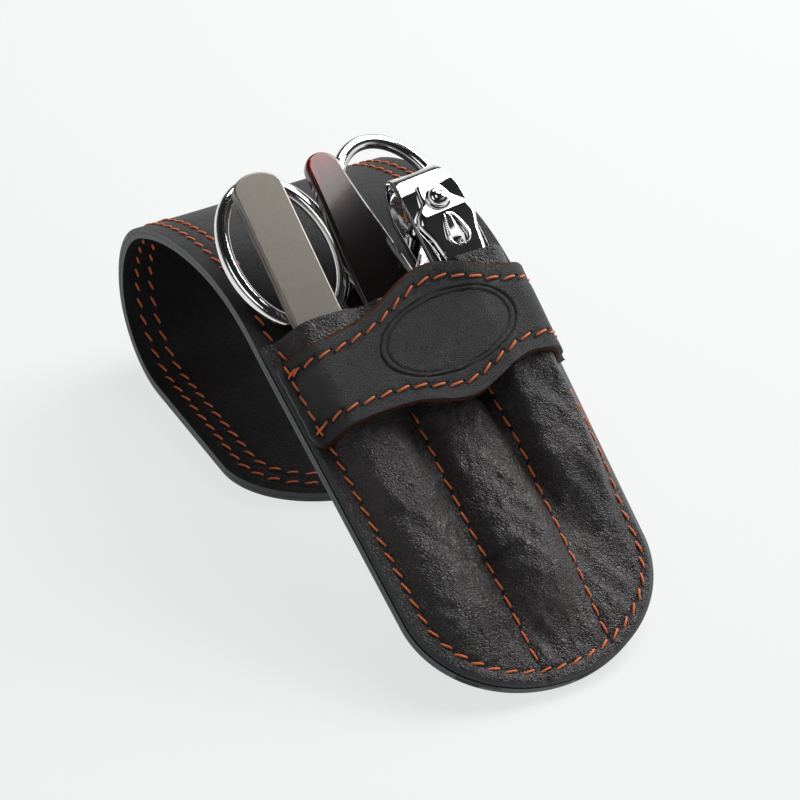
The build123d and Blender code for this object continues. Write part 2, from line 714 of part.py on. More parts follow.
def band_outline():
    """The band seen square to the pouch: a straight strip with a wide oval lobe."""
    with BuildSketch(panel) as outline:
        with Locations((0, band_middle)):
            Rectangle(2 * CASE_WIDTH, BAND_HIGH - BAND_LOW)
        with Locations(LOBE_AT):
            Ellipse(*LOBE_SIZE)
        corners = [p for p in outline.vertices() if abs(p.X) < CASE_WIDTH / 2]
        fillet(corners, LOBE_BLEND)
    return outline.sketch


def band_section(v, low, high):
    """Cross-section of one layer of the band at v, from low to high above its underside."""
    with BuildSketch(across(v)) as section:
        with BuildLine():
            under = Spline(*band_path(v), mode=Mode.PRIVATE)
            faces = []
            for lift in (low, high):
                points = []
                for step in range(BAND_STEPS + 1):
                    way = under % (step / BAND_STEPS)
                    points.append(under @ (step / BAND_STEPS) + Vector(-way.Y, way.X) * lift)
                faces.append(Spline(*points))
            Line(faces[0] @ 0, faces[1] @ 0)
            Line(faces[0] @ 1, faces[1] @ 1)
        make_face()
    return section.sketch


def band_layer(low, high):
    """One layer of the band, which comes nearer to the lining as the pockets do."""
    with BuildPart() as layer:
        loft([band_section(v, low, high) for v in (BAND_TOP_END, BAND_FOOT_END)], ruled=True)
        extrude(band_outline(), amount=2 * CASE_WIDTH, mode=Mode.INTERSECT)
    return layer


closure_band = band_layer(BAND_BACKING, BAND_BACKING + BAND_FACE)
band_backing = band_layer(0, BAND_BACKING)

# ---------------------------------------------------------------- the pieces as files

pieces = {
    "back_outer": back_outer,
    "back_lining": back_lining,
    "flap_outer": flap_outer,
    "flap_lining": flap_lining,
    "pocket_front": pocket_front,
    "closure_band": closure_band,
    "band_backing": band_backing,
    "scissors_left": scissors_left,
    "scissors_right": scissors_right,
    "scissors_screw": scissors_screw,
    "tweezers_front_arm": tweezers_front_arm,
    "tweezers_back_arm": tweezers_back_arm,
    "file_handle": file_handle,
    "file_blade": file_blade,
    "clipper_lower_arm": clipper_lower_arm,
    "clipper_upper_arm": clipper_upper_arm,
    "clipper_lever": clipper_lever,
    "clipper_pin": clipper_pin,
    "clipper_rivet": clipper_rivet,
}

# the origin goes to the middle of the footprint, on the table
boxes = [piece.part.bounding_box() for piece in pieces.values()]
low = Vector(*[min(tuple(box.min)[i] for box in boxes) for i in range(3)])
high = Vector(*[max(tuple(box.max)[i] for box in boxes) for i in range(3)])
to_origin = Location((-(low.X + high.X) / 2, -(low.Y + high.Y) / 2, -low.Z))

if __name__ == "__main__":
    os.makedirs("parts", exist_ok=True)
    for name, piece in pieces.items():
        placed = piece.part.moved(to_origin)
        placed.label = name
        export_step(placed, f"parts/{name}.step")
    print("footprint", high.X - low.X, high.Y - low.Y, "height", high.Z - low.Z)
    print("shift", to_origin.position)
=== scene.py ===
# %% [markdown]
# # A leather manicure case
# One strip of leather makes the back of the pouch, bends over the top and curls back under the case, where
# its rounded end lies on the table. A front leather with three sewn pockets holds tweezers, a nail file,
# scissors and a nail clipper, and a band crosses it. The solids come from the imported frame. Here the leather
# is modelled as leather, and the steel gets its finish.

import math

import bpy
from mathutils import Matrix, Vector, noise


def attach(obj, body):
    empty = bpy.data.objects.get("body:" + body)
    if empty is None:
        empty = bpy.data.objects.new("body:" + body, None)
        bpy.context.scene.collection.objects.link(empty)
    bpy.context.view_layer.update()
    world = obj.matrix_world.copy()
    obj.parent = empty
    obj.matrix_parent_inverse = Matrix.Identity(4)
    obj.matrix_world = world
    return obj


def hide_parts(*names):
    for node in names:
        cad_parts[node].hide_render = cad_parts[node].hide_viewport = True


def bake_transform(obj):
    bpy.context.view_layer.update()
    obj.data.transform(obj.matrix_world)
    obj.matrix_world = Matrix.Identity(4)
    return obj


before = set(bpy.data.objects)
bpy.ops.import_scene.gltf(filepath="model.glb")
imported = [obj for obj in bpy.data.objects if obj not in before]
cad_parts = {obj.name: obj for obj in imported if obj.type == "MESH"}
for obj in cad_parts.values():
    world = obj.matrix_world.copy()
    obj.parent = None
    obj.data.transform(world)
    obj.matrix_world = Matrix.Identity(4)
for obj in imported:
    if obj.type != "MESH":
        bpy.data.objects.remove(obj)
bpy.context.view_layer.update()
MM = 0.001

# %% [markdown]
# The pouch leans on a slope. It is easiest to think of leather in its own directions: u across the pouch, v
# up from its closed end, and n out of the lining towards the tools. One helper turns these into the frame's
# own directions. Sizes are written in millimetres and become metres there.

# %% The pouch's own directions
SLOPE = math.radians(29.5)
FOOT = Vector((0.007, -66.269, 1.915))
UP_THE_POUCH = Vector((0, math.cos(SLOPE), math.sin(SLOPE)))
OUT_OF_LINING = Vector((0, -math.sin(SLOPE), math.cos(SLOPE)))


def on_pouch(u, v, n):
    """A place on the pouch, in metres."""
    return (FOOT + Vector((u, 0, 0)) + UP_THE_POUCH * v + OUT_OF_LINING * n) * MM


# %% [markdown]
# The strip is followed from the pouch's closed end to the tip of the tail. Seen from the side it is a
# straight run, four bends that each turn further down, and a flat run on the table.

# %% The strip from the side
POUCH_LENGTH = 78.5
TAIL_LENGTH = 50.6
BENDS = ((42.4, 29.5), (65.0, 29.0), (24.0, 61.0), (16.926, 90.0))  # radius and turn in degrees
BEND_LENGTHS = [radius * math.radians(turn) for radius, turn in BENDS]
STRIP_LENGTH = POUCH_LENGTH + sum(BEND_LENGTHS) + TAIL_LENGTH


def side_of_strip(s):
    """Place (y, z) and heading of the lining's face at s along the strip, in millimetres."""
    heading = SLOPE
    step = min(s, POUCH_LENGTH)
    y, z = FOOT.y + step * math.cos(heading), FOOT.z + step * math.sin(heading)
    s -= step
    for (radius, turn), length in zip(BENDS, BEND_LENGTHS):
        step = min(s, length)
        middle_y, middle_z = y + radius * math.sin(heading), z - radius * math.cos(heading)
        heading -= step / radius
        y, z = middle_y - radius * math.sin(heading), middle_z + radius * math.cos(heading)
        s -= step
    return y + s * math.cos(heading), z + s * math.sin(heading), heading


def on_strip(x, s, n):
    """A place on the strip, n out of the lining's face, in metres."""
    y, z, heading = side_of_strip(s)
    return Vector((FOOT.x + x, y - math.sin(heading) * n, z + math.cos(heading) * n)) * MM


print("strip, flat:", round(STRIP_LENGTH), "mm long")

# %% [markdown]
# The outline of the strip, as cut: rounded at both ends, and a little narrower at the pouch's closed end.
# Near a rounded end the rows of a grid step by angle, so that the curve stays round.

# %% The strip's outline
END_DEPTH = 21.0
FULL_HALF, END_HALF = 27.5, 25.3


def straight_half(s):
    """Half the strip's width without its rounded ends."""
    part = min(1.0, max(0.0, (s - END_DEPTH) / (POUCH_LENGTH - END_DEPTH)))
    return END_HALF + (FULL_HALF - END_HALF) * part


def outline_half(s, inset=0.0, end_inset=None):
    """Half the width at s of a line inset inside the strip's sides and end_inset inside its ends."""
    end_depth = END_DEPTH - (inset if end_inset is None else end_inset)
    past = max(END_DEPTH - s, s - (STRIP_LENGTH - END_DEPTH), 0.0) / end_depth
    return (straight_half(s) - inset) * math.sqrt(max(0.0, 1 - past * past))


def rows_along(part, length, round_far_end):
    """Turns 0 to 1 into a place along a sheet, with fine rows at its rounded ends."""
    share = 0.13 if round_far_end else 0.3
    if part < share:
        return END_DEPTH * (1 - math.cos(part / share * math.pi / 2))
    if round_far_end and part > 1 - share:
        return length - rows_along(1 - part, length, True)
    far = 1 - share if round_far_end else 1.0
    far_length = length - END_DEPTH if round_far_end else length
    return END_DEPTH + (far_length - END_DEPTH) * (part - share) / (far - share)


def columns_across(a):
    """Turns -1 to 1 into a share of the half width, with fine columns near the sides."""
    return math.sin(a * 1.26) / math.sin(1.26)


def smooth_step(t):
    """From 0 to 1 with level ends."""
    t = min(1.0, max(0.0, t))
    return t * t * (3 - 2 * t)


def ripple(x, y, z):
    """Smooth noise between about -1 and 1."""
    return noise.noise(Vector((x, y, z)))


# %% [markdown]
# Most pieces start as a flat grid, whose points are then put where the leather runs. Solidify gives the sheet
# its thickness, and a narrow bevel takes the knife's sharpness off its edges.

# %% Helpers for sheets


def work_on(obj):
    """Makes obj the only selected object, and the active one."""
    bpy.ops.object.select_all(action="DESELECT")
    obj.select_set(True)
    bpy.context.view_layer.objects.active = obj


def finish_with(obj, kind, **settings):
    """Adds a modifier and applies it."""
    work_on(obj)
    modifier = obj.modifiers.new(kind.title(), kind)
    for key, value in settings.items():
        setattr(modifier, key, value)
    bpy.ops.object.modifier_apply(modifier=modifier.name)


def thick_sheet(name, columns, rows, place, thickness, edge=0.22):
    """A grid put in place by place(a, b), a and b from -1 to 1, made thick under its face."""
    bpy.ops.mesh.primitive_grid_add(x_subdivisions=columns, y_subdivisions=rows, size=2)
    obj = bpy.context.object
    obj.name = name
    for point in obj.data.vertices:
        point.co = place(point.co.x, point.co.y)
    finish_with(obj, "WELD", merge_threshold=0.00002)
    finish_with(obj, "SOLIDIFY", thickness=thickness * MM, offset=-1, use_even_offset=False)
    finish_with(obj, "BEVEL", width=edge * MM, segments=2, limit_method="ANGLE",
                angle_limit=math.radians(50))
    work_on(obj)
    bpy.ops.object.shade_smooth_by_angle(angle=math.radians(48))
    print(name, len(obj.data.polygons), "faces")
    return obj


# %% [markdown]
# ## The strip
# It is two leathers glued together: a smooth one that faces the tools, and a grained one that faces away.
# Each is made as one sheet, and parted at the fold further below. Two rows of stitches run along the flap's
# edge, and a tight seam presses a channel into each face.

# %% Lining and outer leather
FLAP_SEAMS = ((3.2, 79.0), (6.2, 99.0))  # inset from the edge, and where along the strip each starts
LINING, OUTER_LEATHER = 1.0, 1.2


def channel(distance, depth, width=0.7):
    """Depth of the groove that a tight seam presses in, at a distance from it."""
    return depth * math.exp(-(distance / width) ** 2)


def strip_face(level, side, seed):
    """Gives the function that puts a grid on the strip; side is 1 for the lining, -1 for the back."""
    def place(a, b):
        s = rows_along((b + 1) / 2, STRIP_LENGTH, True)
        half = outline_half(s)
        x = side * columns_across(a) * half
        inside = half - abs(x)
        sunk = sum(channel(inside - inset, 0.16) for inset, start in FLAP_SEAMS if s > start)
        wave = 0.10 * ripple(x * 0.10, s * 0.07, seed)
        return on_strip(x, s, level + side * (wave * min(1, inside / 4) - sunk - 0.06))
    return place


strip_lining = thick_sheet("strip_lining", 72, 300, strip_face(0.0, 1, 3.0), LINING - 0.09)
strip_back = thick_sheet("strip_back", 72, 300, strip_face(-LINING - OUTER_LEATHER, -1, 8.0),
                         OUTER_LEATHER - 0.09)

# %% [markdown]
# ## The front leather
# It is drawn tight over the tools. Over each tool it is nearly flat, from the tool's edges it falls to the
# seams, and below the tool's end it sinks to the back. So its height is worked out from where the tools lie.
# Above the sewn dividers the scissors' shanks pass below it, so there the valleys are shallower.

# %% Height of the front leather
RIM = 1.1  # height of the leather's face where it is sewn down
SEAM_LEFT, SEAM_RIGHT, SEAM_END = 3.2, 2.2, 2.7  # insets of the seam round the pouch
DIVIDER_TOP = 55.0  # where the sewn dividers end
OVER = 1.5  # the leather's face over the tool under it
END_SCALE = 22.0  # turns a share of the rounded end's depth into millimetres


def seam_half(side, v):
    """Half width of the seam round the pouch, on one side."""
    return outline_half(v, SEAM_LEFT if side < 0 else SEAM_RIGHT, SEAM_END) if v > SEAM_END else 0.0


def divider_at(index, v):
    """Place across of a divider's valley, which spreads above the sewn part."""
    spread = smooth_step((v - DIVIDER_TOP) / 16)
    if index == 0:
        return -6.65 + 1.1 * (1 - smooth_step(v / 34)) - 0.6 * spread
    return 9.1 - 0.6 * smooth_step((v - 40) / 16) - 1.5 * spread


def divider_height(index, v):
    """Height of a divider's valley."""
    sewn, open_above = ((0.8, 2.4), (1.3, 4.4))[index]
    return RIM + sewn * smooth_step((v - 6) / 16) + open_above * smooth_step((v - DIVIDER_TOP) / 10)


def corners_over(pocket, v):
    """Where the leather turns over the tools in a pocket: places across and heights, from left to right."""
    if pocket == 0:  # tweezers
        half = 1.7 + 3.3 * smooth_step((v - 18) / 52)
        end, foot, middle, top = 20.5, 4.0, -15.9, 2.6 + 0.0522 * (max(v, 20.5) - 20.5)
        corners = [(-half, top), (half, top)]
    elif pocket == 1:  # nail file over the scissors
        half = 2.6 + 1.6 * smooth_step((v - 20) / 10) + 2.2 * smooth_step((v - 57) / 9)
        end, foot, middle, top = 21.0, 5.0, 1.9 - 0.04 * (v - 28), 4.8 + 0.95 * smooth_step((v - 56) / 9)
        corners = [(-half, top), (half, top)]
        if 26 < v < 62:  # the scissors lie below the file and reach further to the left
            corners.insert(0, (-5.75 - middle, 2.9))
    else:  # nail clipper: its arms are wider than its lever
        end, foot, middle, rise = 42.5, 13.0, 16.6 - 0.0805 * (v - 42.5), 0.19 * (max(v, 42.5) - 42.5)
        corners = [(-6.8, 4.4 + rise), (-5.75, 6.85 + rise), (5.6, 6.8 + rise), (6.7, 4.4 + rise)]
    sink = smooth_step((v - foot) / (end - foot)) ** (1.0, 1.0, 1.45)[pocket]
    width = 0.4 + 0.6 * sink
    return [(middle + x * width, RIM + (top + OVER - RIM) * sink) for x, top in corners]


def drape(u, v):
    """Height of a sheet drawn straight from the seams over the tools' corners."""
    walls = (-seam_half(-1, v), divider_at(0, v), divider_at(1, v), seam_half(1, v))
    bases = (RIM, divider_height(0, v), divider_height(1, v), RIM)
    if not walls[0] < u < walls[3]:
        return RIM
    pocket = 0 if u < walls[1] else 1 if u < walls[2] else 2
    left, right = (walls[pocket], bases[pocket]), (walls[pocket + 1], bases[pocket + 1])
    inner = [(x, height) for x, height in corners_over(pocket, v) if left[0] + 0.6 < x < right[0] - 0.6]
    points = [left] + inner + [right]
    for (x1, h1), (x2, h2) in zip(points, points[1:]):
        if u <= x2:
            straight = h1 + (h2 - h1) * (u - x1) / (x2 - x1)
            return max(straight, min(left[1], right[1]))
    return right[1]


def from_line(u, v, inset, end_inset):
    """How far inside a line along the pouch's edge a place is; the line lies inset inside the edge."""
    if v > END_DEPTH:
        return straight_half(v) - inset - abs(u)
    out = math.hypot(u / (straight_half(v) - inset), (END_DEPTH - v) / (END_DEPTH - end_inset))
    return (1 - out) * END_SCALE


def leather_height(u, v):
    """Height of the front leather's face over the lining, with its turns and its cut edge rounded."""
    soft = sum(drape(u + step, v) for step in (-1.8, -1.2, -0.6, 0.0, 0.6, 1.2, 1.8)) / 7
    inside = max(0.0, from_line(u, v, 0.0, 0.0))
    rim = min(1.0, inside / 3.0)
    return soft + 0.2 * math.sin(math.pi * rim) - 0.45 * max(0.0, 1 - inside / 1.1) ** 2


# %% [markdown]
# Soft leather wrinkles where it is pulled down to a seam and where a pocket runs out. The wrinkles are folds
# in the sheet, so they are moved points, and only the finer grain is left to the finish.

# %% Wrinkles and the front leather


def wrinkles(u, v):
    """Height of the folds in the front leather."""
    tilt_u, tilt_v = u + 0.55 * v, v - 0.55 * u
    folds = 1 - abs(ripple(tilt_u * 0.21, tilt_v * 0.085, 4.0)) * 2.4
    small = 1 - abs(ripple(u * 0.42 - v * 0.12, v * 0.28, 9.0)) * 2.2
    broad = ripple(u * 0.09, v * 0.06, 15.0)
    flat = 1 - 0.75 * smooth_step((v - 64) / 8)
    return (0.34 * folds + 0.17 * small) * flat + 0.45 * broad


def front_point(u, v):
    """Height of the front leather with its wrinkles and the grooves of its seams."""
    height = leather_height(u, v)
    inside = from_line(u, v, SEAM_LEFT if u < 0 else SEAM_RIGHT, SEAM_END)
    loose = smooth_step(inside / 3.0)
    for index in (0, 1):
        gap = abs(u - divider_at(index, v))
        if v < DIVIDER_TOP + 4:
            loose *= 0.25 + 0.75 * smooth_step(gap / 2.2)
        height -= channel(gap, 0.25, 0.6) * (1 - smooth_step((v - DIVIDER_TOP) / 5))
    height += loose * wrinkles(u, v)
    return height - channel(inside, 0.25, 0.6)


def front_normal(u, v, height=front_point):
    """Direction out of the front leather, in the pouch's directions."""
    step = 0.4
    across = (height(u + step, v) - height(u - step, v)) / (2 * step)
    along = (height(u, v + step) - height(u, v - step)) / (2 * step)
    return Vector((-across, -along, 1)).normalized()


def place_front(a, b):
    """Puts a grid on the front leather, with a slightly uneven cut along its mouth."""
    v = rows_along((b + 1) / 2, POUCH_LENGTH, False)
    u = a * outline_half(v)
    if v > POUCH_LENGTH - 0.1:
        v += 0.35 * ripple(u * 0.16, 2.0, 1.0) - 0.1
    return on_pouch(u, v, front_point(u, v))


front_leather = thick_sheet("front_leather", 170, 210, place_front, RIM - 0.06, edge=0.18)

# %% [markdown]
# ## The band
# The band is sewn down at both sides and pulled over the pockets, so across the case it is the tightest line
# that stays outside them. That line is found for a row of places along the case, rounded off, and looked up
# between them. In the middle the band widens to an oval lobe.

# %% The line that the band takes
BAND_EDGE = 3.2  # the seam at its ends, from the case's edge
BAND_START, ROW_STEP, ROW_COUNT = 51.0, 0.75, 41  # the places along the case that are worked out
BAND_STEP, BAND_COUNT = 0.4, 139  # and the places across it


def tight_line(v):
    """Heights of the tightest line over the pockets at v, at places BAND_STEP apart from side to side."""
    seam = outline_half(v) - BAND_EDGE
    places = [(i - (BAND_COUNT - 1) / 2) * BAND_STEP for i in range(BAND_COUNT)]
    points = [(u, leather_height(u, v) + 0.45 if abs(u) < seam - 1 else RIM + 0.15) for u in places]
    line = []
    for point in points:
        while len(line) > 1 and abs(point[0]) <= seam:
            (u1, n1), (u2, n2) = line[-2:]
            if abs(u1) > seam + BAND_STEP:
                break
            if (n2 - n1) * (point[0] - u1) > (point[1] - n1) * (u2 - u1):
                break
            line.pop()
        line.append(point)
    heights, at = [], 0
    for u in places:
        while at < len(line) - 2 and line[at + 1][0] < u:
            at += 1
        (u1, n1), (u2, n2) = line[at], line[at + 1]
        heights.append(n1 + (n2 - n1) * (u - u1) / (u2 - u1))
    for _ in range(3):
        near = [heights[max(0, i - 2):i + 3] for i in range(BAND_COUNT)]
        heights = [max(height, sum(few) / len(few)) for height, few in zip(heights, near)]
    return heights


band_lines = [tight_line(BAND_START + ROW_STEP * i) for i in range(ROW_COUNT)]


def band_height(u, v):
    """Height of the band's underside over the lining."""
    row = min(max((v - BAND_START) / ROW_STEP, 0), ROW_COUNT - 1.001)
    column = min(max(u / BAND_STEP + (BAND_COUNT - 1) / 2, 0), BAND_COUNT - 1.001)
    r, c = int(row), int(column)
    fr, fc = row - r, column - c
    low = band_lines[r][c] * (1 - fc) + band_lines[r][c + 1] * fc
    high = band_lines[r + 1][c] * (1 - fc) + band_lines[r + 1][c + 1] * fc
    return low * (1 - fr) + high * fr


# %% [markdown]
# The band's face is embossed with a plain double oval. A backing of raw leather lies under the face and just
# shows at the cut edges.

# %% Face and backing of the band
BAND_FACE, BAND_BACKING = 0.95, 0.8
BAND_INSET = 0.25  # its ends, from the case's edge
BAND_SEAM = 2.8  # its rows of stitches, from its edges
OVAL_AT, OVAL_HALF = (2.9, 65.9), (13.0, 7.4)


def band_top(u):
    """Upper edge of the band, along the pouch."""
    return 73.3 + 5.6 * math.exp(-((u - 2.8) / 10.2) ** 2) + 0.15 * ripple(u * 0.2, 0, 5)


def band_foot(u):
    """Lower edge of the band, along the pouch."""
    return 56.6 - 3.3 * math.exp(-((u - 2.6) / 7.6) ** 2) + 0.8 * math.exp(-((u - 16) / 4) ** 2) \
        - 0.9 * smooth_step((-19 - u) / 8)


def embossed(u, v):
    """Depth of the oval border pressed into the face."""
    out = math.hypot((u - OVAL_AT[0]) / OVAL_HALF[0], (v - OVAL_AT[1]) / OVAL_HALF[1])
    away = (out - 1) * 9.0
    return channel(away, 0.34, 0.18) + channel(away + 0.90, 0.22, 0.16) + 0.16 * smooth_step(-away / 1.2)


def band_sheet(level, inset, emboss):
    """Gives the function that puts a grid on the band, at a level above its underside."""
    def place(a, b):
        middle = a * (FULL_HALF - BAND_INSET)
        top, foot = band_top(middle) - inset, band_foot(middle) + inset
        v = (top + foot) / 2 + b * (top - foot) / 2
        u = a * (outline_half(v) - BAND_INSET - 4 * abs(inset))
        if abs(a) > 0.999:
            u += 0.25 * ripple(v * 0.5, a, 7)
        near_edge = min(abs(v - top), abs(v - foot))
        corner = max(0.0, 1 - near_edge / 1.6) ** 2 * smooth_step((abs(a) - 0.9) / 0.1)
        u -= math.copysign(1.3 * corner, a)
        out = front_normal(u, v, band_height)
        sunk = channel(near_edge - BAND_SEAM + inset, 0.16) + (embossed(u, v) if emboss else 0)
        curl = 0.35 * math.exp(-(near_edge / 1.6) ** 2) * math.exp(-((u - 3) / 13) ** 2)
        wave = 0.16 * ripple(u * 0.12, v * 0.12, 21.0) + 0.05 * ripple(u * 0.5, v * 0.5, 2.0)
        rise = level + curl + wave * min(1, (27 - abs(u)) / 4) - sunk
        return on_pouch(u + out.x * rise, v + out.y * rise, band_height(u, v) + out.z * rise)
    return place


band_face = thick_sheet("band_face", 260, 84, band_sheet(BAND_BACKING + BAND_FACE, 0.0, True),
                        BAND_FACE - 0.04, edge=0.16)
band_backing = thick_sheet("band_backing", 110, 30, band_sheet(BAND_BACKING, -0.14, False),
                           BAND_BACKING - 0.05, edge=0.12)

# %% [markdown]
# ## Stitches
# Each stitch is a short twisted thread that comes out of the leather, arches over it and goes back in. One is
# modelled and then copied along every seam, tilted a little across the seam as a lockstitch lies.

# %% One stitch
STITCH_PITCH, STITCH_LENGTH, THREAD = 3.2, 3.05, 0.23
SHADOW_DISC_CORNERS = 6  # corners of the disc of painted shadow at each end of a stitch

bpy.ops.mesh.primitive_cylinder_add(vertices=7, radius=THREAD, depth=STITCH_LENGTH, end_fill_type="TRIFAN",
                                    rotation=(0, math.pi / 2, 0))
stitch = bpy.context.object
bpy.ops.object.transform_apply(location=False, rotation=True, scale=False)
bpy.ops.object.mode_set(mode="EDIT")
for cut in (-0.75, 0, 0.75):
    bpy.ops.mesh.select_all(action="SELECT")
    bpy.ops.mesh.bisect(plane_co=(cut, 0, 0), plane_no=(1, 0, 0))
bpy.ops.object.mode_set(mode="OBJECT")
stitch_shape = []
for point in stitch.data.vertices:
    end = abs(point.co.x) / (STITCH_LENGTH / 2)
    slim = 1 - 0.35 * end ** 3
    arch = 0.16 - 0.40 * end ** 3
    stitch_shape.append(Vector((point.co.x, point.co.y * slim, point.co.z * slim * 0.85 + arch)))
stitch_faces = [tuple(face.vertices) for face in stitch.data.polygons]
bpy.data.objects.remove(stitch)

# %% Stitches along a line


def walk(line, start, pitch):
    """Places, directions and numbers at equal steps along a list of (point, normal)."""
    done, target, number = 0.0, start, 0
    for (p, n), (q, m) in zip(line, line[1:]):
        step = (q - p).length / MM
        while step > 0 and done + step >= target:
            part = (target - done) / step
            yield p.lerp(q, part), (q - p).normalized(), n.lerp(m, part).normalized(), number
            target += pitch
            number += 1
        done += step


def sew(name, lines, slant=18.0, lift=0.0, pitch=STITCH_PITCH, size=1.0):
    """Copies the stitch along lines of (point, normal), as one piece, with a near-black disc of painted shadow
    at each end.
    """
    points, faces = [], []
    for line in lines:
        for place, ahead, out, number in walk(line, pitch / 2, pitch):
            side = out.cross(ahead).normalized()
            turn = math.radians(slant + 5 * ripple(number * 0.9, slant, 3.3))
            long = ahead * math.cos(turn) + side * math.sin(turn)
            wide = out.cross(long).normalized()
            first = len(points)
            grow = 1 + 0.08 * ripple(number * 1.7, 1, 8)
            for corner in stitch_shape:
                x, y, z = corner.x * size * grow, corner.y * size, corner.z * size + lift
                points.append(place + (long * x + wide * y + out * z) * MM)
            faces += [tuple(first + i for i in face) for face in stitch_faces]
            # At each end a flat near-black disc lies just over the leather: painted shadow where the thread
            # goes in.
            half = STITCH_LENGTH * size * grow / 2 + 0.02
            for end in (-1, 1):
                middle = place + (long * (end * half) + out * (lift + 0.02)) * MM
                faces.append(tuple(range(len(points), len(points) + SHADOW_DISC_CORNERS)))
                for k in range(SHADOW_DISC_CORNERS):
                    angle = k * 2 * math.pi / SHADOW_DISC_CORNERS
                    corner = long * math.cos(angle) * 0.36 + wide * math.sin(angle) * 0.34
                    points.append(middle + corner * MM)
    mesh = bpy.data.meshes.new(name)
    mesh.from_pydata(points, [], faces)
    mesh.validate()
    obj = bpy.data.objects.new(name, mesh)
    bpy.context.collection.objects.link(obj)
    work_on(obj)
    bpy.ops.object.shade_smooth()
    # The discs take the second slot, the near-black painted shadow.
    for face in mesh.polygons:
        face.material_index = int(len(face.vertices) == SHADOW_DISC_CORNERS)
    print(name, len(points) // (len(stitch_shape) + 2 * SHADOW_DISC_CORNERS), "stitches")
    return obj


# %% [markdown]
# The seams: one row round the pouch that holds front and back together, the two dividers, two rows round the
# flap, and a row near each edge of the band. A seam shows on both faces of the leather that it goes through.

# %% The seams' lines


def round_the_end(insets, end_inset, far, reach):
    """Flat places (x, s) of a seam, from the left side round a rounded end to the right side."""
    whole, way = (STRIP_LENGTH, -1) if far else (0.0, 1)
    middle = straight_half(whole + way * END_DEPTH)
    places = []
    for side, inset in zip((-1, 1), insets):
        count = int((reach - END_DEPTH) / 0.5)
        part = []
        for i in range(count, 0, -1):
            s = whole + way * (END_DEPTH + (reach - END_DEPTH) * i / count)
            part.append((side * (straight_half(s) - inset), s))
        for i in range(81):
            angle = math.pi / 2 * i / 80
            part.append((side * (middle - inset) * math.cos(angle),
                         whole + way * (END_DEPTH - (END_DEPTH - end_inset) * math.sin(angle))))
        places += part if side < 0 else part[-2::-1]
    return places


def strip_line(places, level, side):
    """A seam's line on a face of the strip."""
    line = []
    for x, s in places:
        ground = on_strip(x, s, level)
        out = (on_strip(x, s, level + 1) - ground).normalized() * side
        line.append((ground, out))
    return line


def leather_line(places, height=front_point, level=0.0):
    """A seam's line on the front leather or the band, level over the sheet that height gives."""
    line = []
    for u, v in places:
        out = front_normal(u, v, height)
        place = on_pouch(u + out.x * level, v + out.y * level, height(u, v) + out.z * level)
        line.append((place, Vector((out.x, 0, 0)) + UP_THE_POUCH * out.y + OUT_OF_LINING * out.z))
    return line


def band_lines_of(rows):
    """The lines of rows of flat places (u, v), on the band's face."""
    return [leather_line(row, band_height, BAND_BACKING + BAND_FACE - 0.1) for row in rows]


flap_rows = [round_the_end((inset, inset), inset, True, STRIP_LENGTH - start)
             for inset, start in FLAP_SEAMS]
flap_stitches = sew("flap_stitches", [strip_line(row, -0.18, 1) for row in flap_rows],
                    pitch=3.7, size=1.08)
flap_back_stitches = sew("flap_back_stitches",
                         [strip_line(row, 0.18 - LINING - OUTER_LEATHER, -1) for row in flap_rows],
                         pitch=3.7, size=1.08)

edge_row = round_the_end((SEAM_LEFT, SEAM_RIGHT), SEAM_END, False, POUCH_LENGTH - 1.5)
shown = [(x, s) for x, s in edge_row if not 56.5 < s < 73.5]  # the band covers the rest
left_top = [p for p in shown if p[0] < 0 and p[1] > 70]
right_top = [p for p in shown if p[0] > 0 and p[1] > 70]
lower = [p for p in shown if p[1] < 60]
divider_rows = [[(divider_at(i, v), v) for v in (57 - 0.5 * k for k in range(107))] for i in (0, 1)]
edge_stitches = sew("edge_stitches", [leather_line(row) for row in (left_top, lower, right_top)], lift=0.08)
divider_stitches = sew("divider_stitches", [leather_line(row) for row in divider_rows], slant=8, lift=0.1,
                       pitch=3.5)
pouch_back_stitches = sew("pouch_back_stitches", [
    strip_line(row, 0.08 - LINING - OUTER_LEATHER, -1) for row in [edge_row] + divider_rows])

# %% [markdown]
# The band's rows stop at its ends, where a cross row goes through band, front and back. A short tack holds
# each of its corners.

# %% The band's seams
reach = FULL_HALF - BAND_EDGE
steps_across = [-reach + 0.25 * i for i in range(int(reach * 8) + 1)]
steps_across = [u for u in steps_across if u < reach - 1.3]  # the right end turns down out of sight
top_row = [(u, band_top(u) - BAND_SEAM) for u in steps_across]
foot_row = [(u, band_foot(u) + BAND_SEAM) for u in steps_across]
end_rows = [[(side * (straight_half(57 + 0.25 * k) - BAND_EDGE), 57.2 + 0.25 * k) for k in range(62)]
            for side in (-1, 1)]
band_stitches = sew("band_stitches", band_lines_of((top_row, foot_row)), slant=14, pitch=3.3, lift=0.05)
band_end_stitches = sew("band_end_stitches", band_lines_of(end_rows), slant=8, lift=0.1)
tacks = []
for u, v in ((-reach, 70.6), (-reach, 58.4), (reach, 70.6), (reach, 58.4)):
    tacks.append([(u - 1.4 + 0.4 * k, v - 0.5 + 0.14 * k) for k in range(9)])
band_tacks = sew("band_tacks", band_lines_of(tacks), pitch=3.0, lift=0.25, slant=0)

# %% [markdown]
# ## Finishes
# Leather gets its look from three sizes of relief: creases of a few millimetres, a net of fine wrinkles about
# a millimetre wide, and pores. One node group makes them all, so each leather only sets its own strengths.

# %% The leather group


def node(tree, kind, **settings):
    """A node with its properties set; keys that name inputs give them a value or link a socket to them."""
    made = tree.nodes.new("ShaderNode" + kind)
    for key, value in settings.items():
        if hasattr(made, key):
            setattr(made, key, value)
        elif isinstance(value, bpy.types.NodeSocket):
            tree.links.new(value, made.inputs[key.replace("_", " ")])
        else:
            made.inputs[key.replace("_", " ")].default_value = value
    return made


